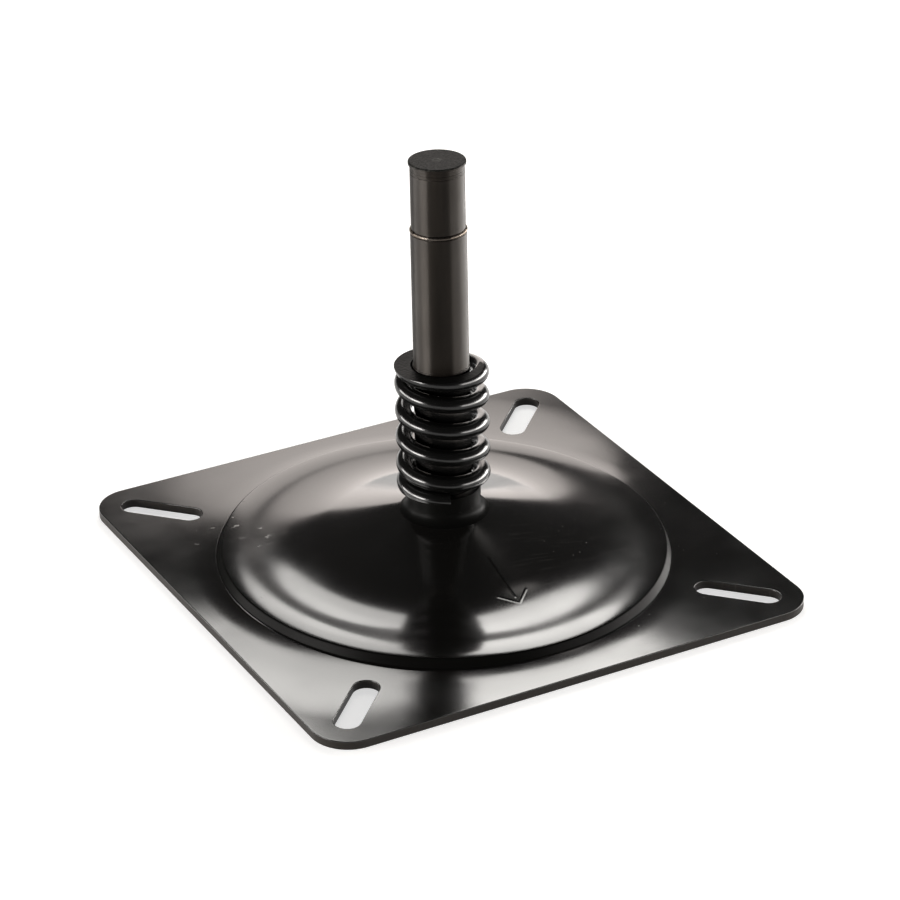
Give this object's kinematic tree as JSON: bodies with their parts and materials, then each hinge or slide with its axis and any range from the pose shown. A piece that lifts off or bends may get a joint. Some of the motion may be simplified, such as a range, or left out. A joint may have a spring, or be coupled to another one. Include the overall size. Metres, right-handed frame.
{
  "type": "swivel seat base",
  "caption": "Square stamped seat plate with a low dome and drawn collar, holding a raked upright pivot pin with a compression spring, snap ring and end cap.",
  "frame": {"origin": "centre of the plate's flat underside, which bears on the seat", "axes": "+Z away from the seat, on the pin's side; -Y towards the seat's front, where the stamped arrow points; the pin leans 2.5 degrees from +Z towards +Y"},
  "size_m": [0.178, 0.178, 0.142],
  "materials": {
    "plate_black": "glossy black dip coat on sheet steel",
    "pin_black": "blackened turned steel, satin",
    "spring_black": "glossy black dip coat on spring steel",
    "ring_steel": "blackened spring wire",
    "cap_plastic": "black moulded plastic, finely textured",
    "weld_black": "weld under the black dip coat"
  },
  "bodies": {
    "base": {"mounting_plate": "plate_black", "king_pin": "pin_black", "snap_ring": "ring_steel", "end_cap": "cap_plastic", "weld_bead": "weld_black"},
    "spring": {"compression_spring": "spring_black"}
  },
  "joints": [
    {"name": "spring_compression", "type": "slide", "parent": "base", "child": "spring", "axis": [0, 0.0436, 0.999], "range_m": [-0.01, 0], "stiffness_N_per_m": 147000, "deforming": ["compression_spring"]}
  ]
}
